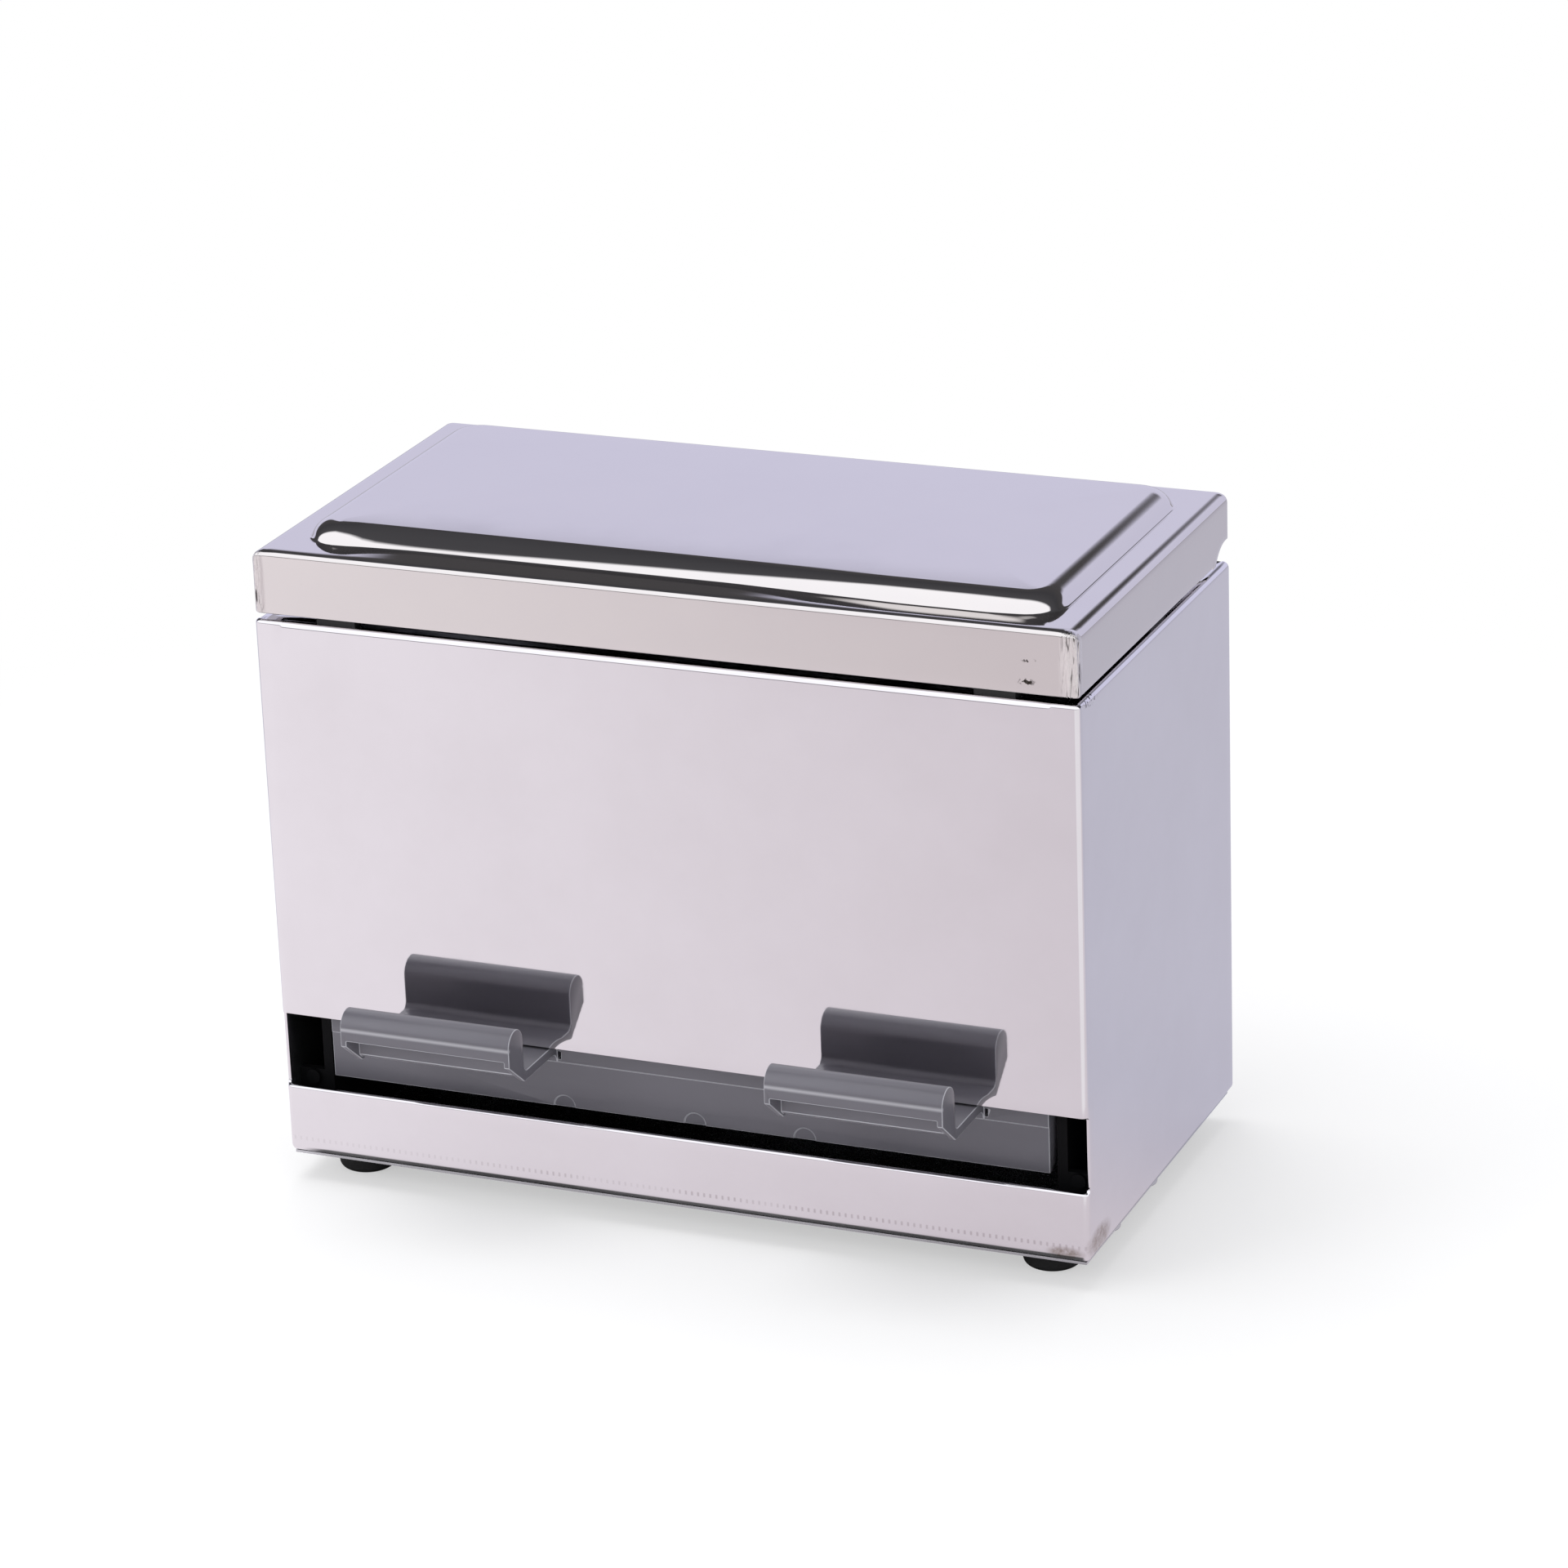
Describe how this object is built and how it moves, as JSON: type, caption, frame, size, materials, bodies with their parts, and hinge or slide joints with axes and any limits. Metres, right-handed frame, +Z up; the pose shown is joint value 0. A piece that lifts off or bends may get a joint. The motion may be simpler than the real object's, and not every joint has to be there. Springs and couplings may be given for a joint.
{
  "type": "straw dispenser with lever",
  "caption": "Counter-top drinking straw dispenser: sheet-steel box with a hinged lid and a full-width lever rocker that lets one straw roll out on to its hooks.",
  "frame": {"origin": "middle of the whole part's width and depth, on the surface that the rubber feet stand on", "axes": "+X to the right along the slot, +Y from the front panel to the rear, +Z up"},
  "size_m": [0.25, 0.1552, 0.2016],
  "materials": {
    "brushed_sheet": "stainless sheet with a fine brushed, nearly mirror-bright face",
    "plain_sheet": "plain bright sheet, inside and under the box",
    "bright_steel": "turned and headed steel",
    "grey_plastic": "moulded mid-grey plastic with a faint sheen",
    "black_plastic": "moulded black plastic",
    "black_rubber": "moulded black rubber",
    "spring_wire": "drawn spring wire",
    "nylon": "natural nylon"
  },
  "bodies": {
    "box": {"body_shell": "brushed_sheet", "rear_panel": "brushed_sheet", "base_panel": "plain_sheet", "hopper_ramp": "plain_sheet", "lid_bumpers": "black_rubber", "hinge_rim_leaf": "plain_sheet", "hinge_pin": "bright_steel", "rim_leaf_rivets": "bright_steel", "left_bracket": "black_plastic", "right_bracket": "black_plastic", "axle_bushes": "nylon", "left_return_spring": "spring_wire", "right_return_spring": "spring_wire", "bracket_screws": "bright_steel", "rubber_feet": "black_rubber", "foot_screws": "bright_steel", "foot_nuts": "bright_steel"},
    "lid": {"lid_shell": "brushed_sheet", "hinge_lid_leaf": "plain_sheet", "lid_leaf_rivets": "bright_steel"},
    "lever": {"lever_rocker": "grey_plastic", "lever_axle": "bright_steel", "axle_clips": "spring_wire", "stop_sleeves": "black_rubber"}
  },
  "joints": [
    {"name": "lid_hinge", "type": "hinge", "parent": "box", "child": "lid", "pos_m": [0, 0.07435, 0.1772], "axis": [-1, 0, 0], "range_deg": [0, 110]},
    {"name": "lever_pivot", "type": "hinge", "parent": "box", "child": "lever", "pos_m": [0, -0.0118, 0.041], "axis": [1, 0, 0], "range_deg": [0, 15], "stiffness_Nm_per_rad": 0.25, "springref_deg": -20.05, "deforming": ["left_return_spring", "right_return_spring"]}
  ]
}
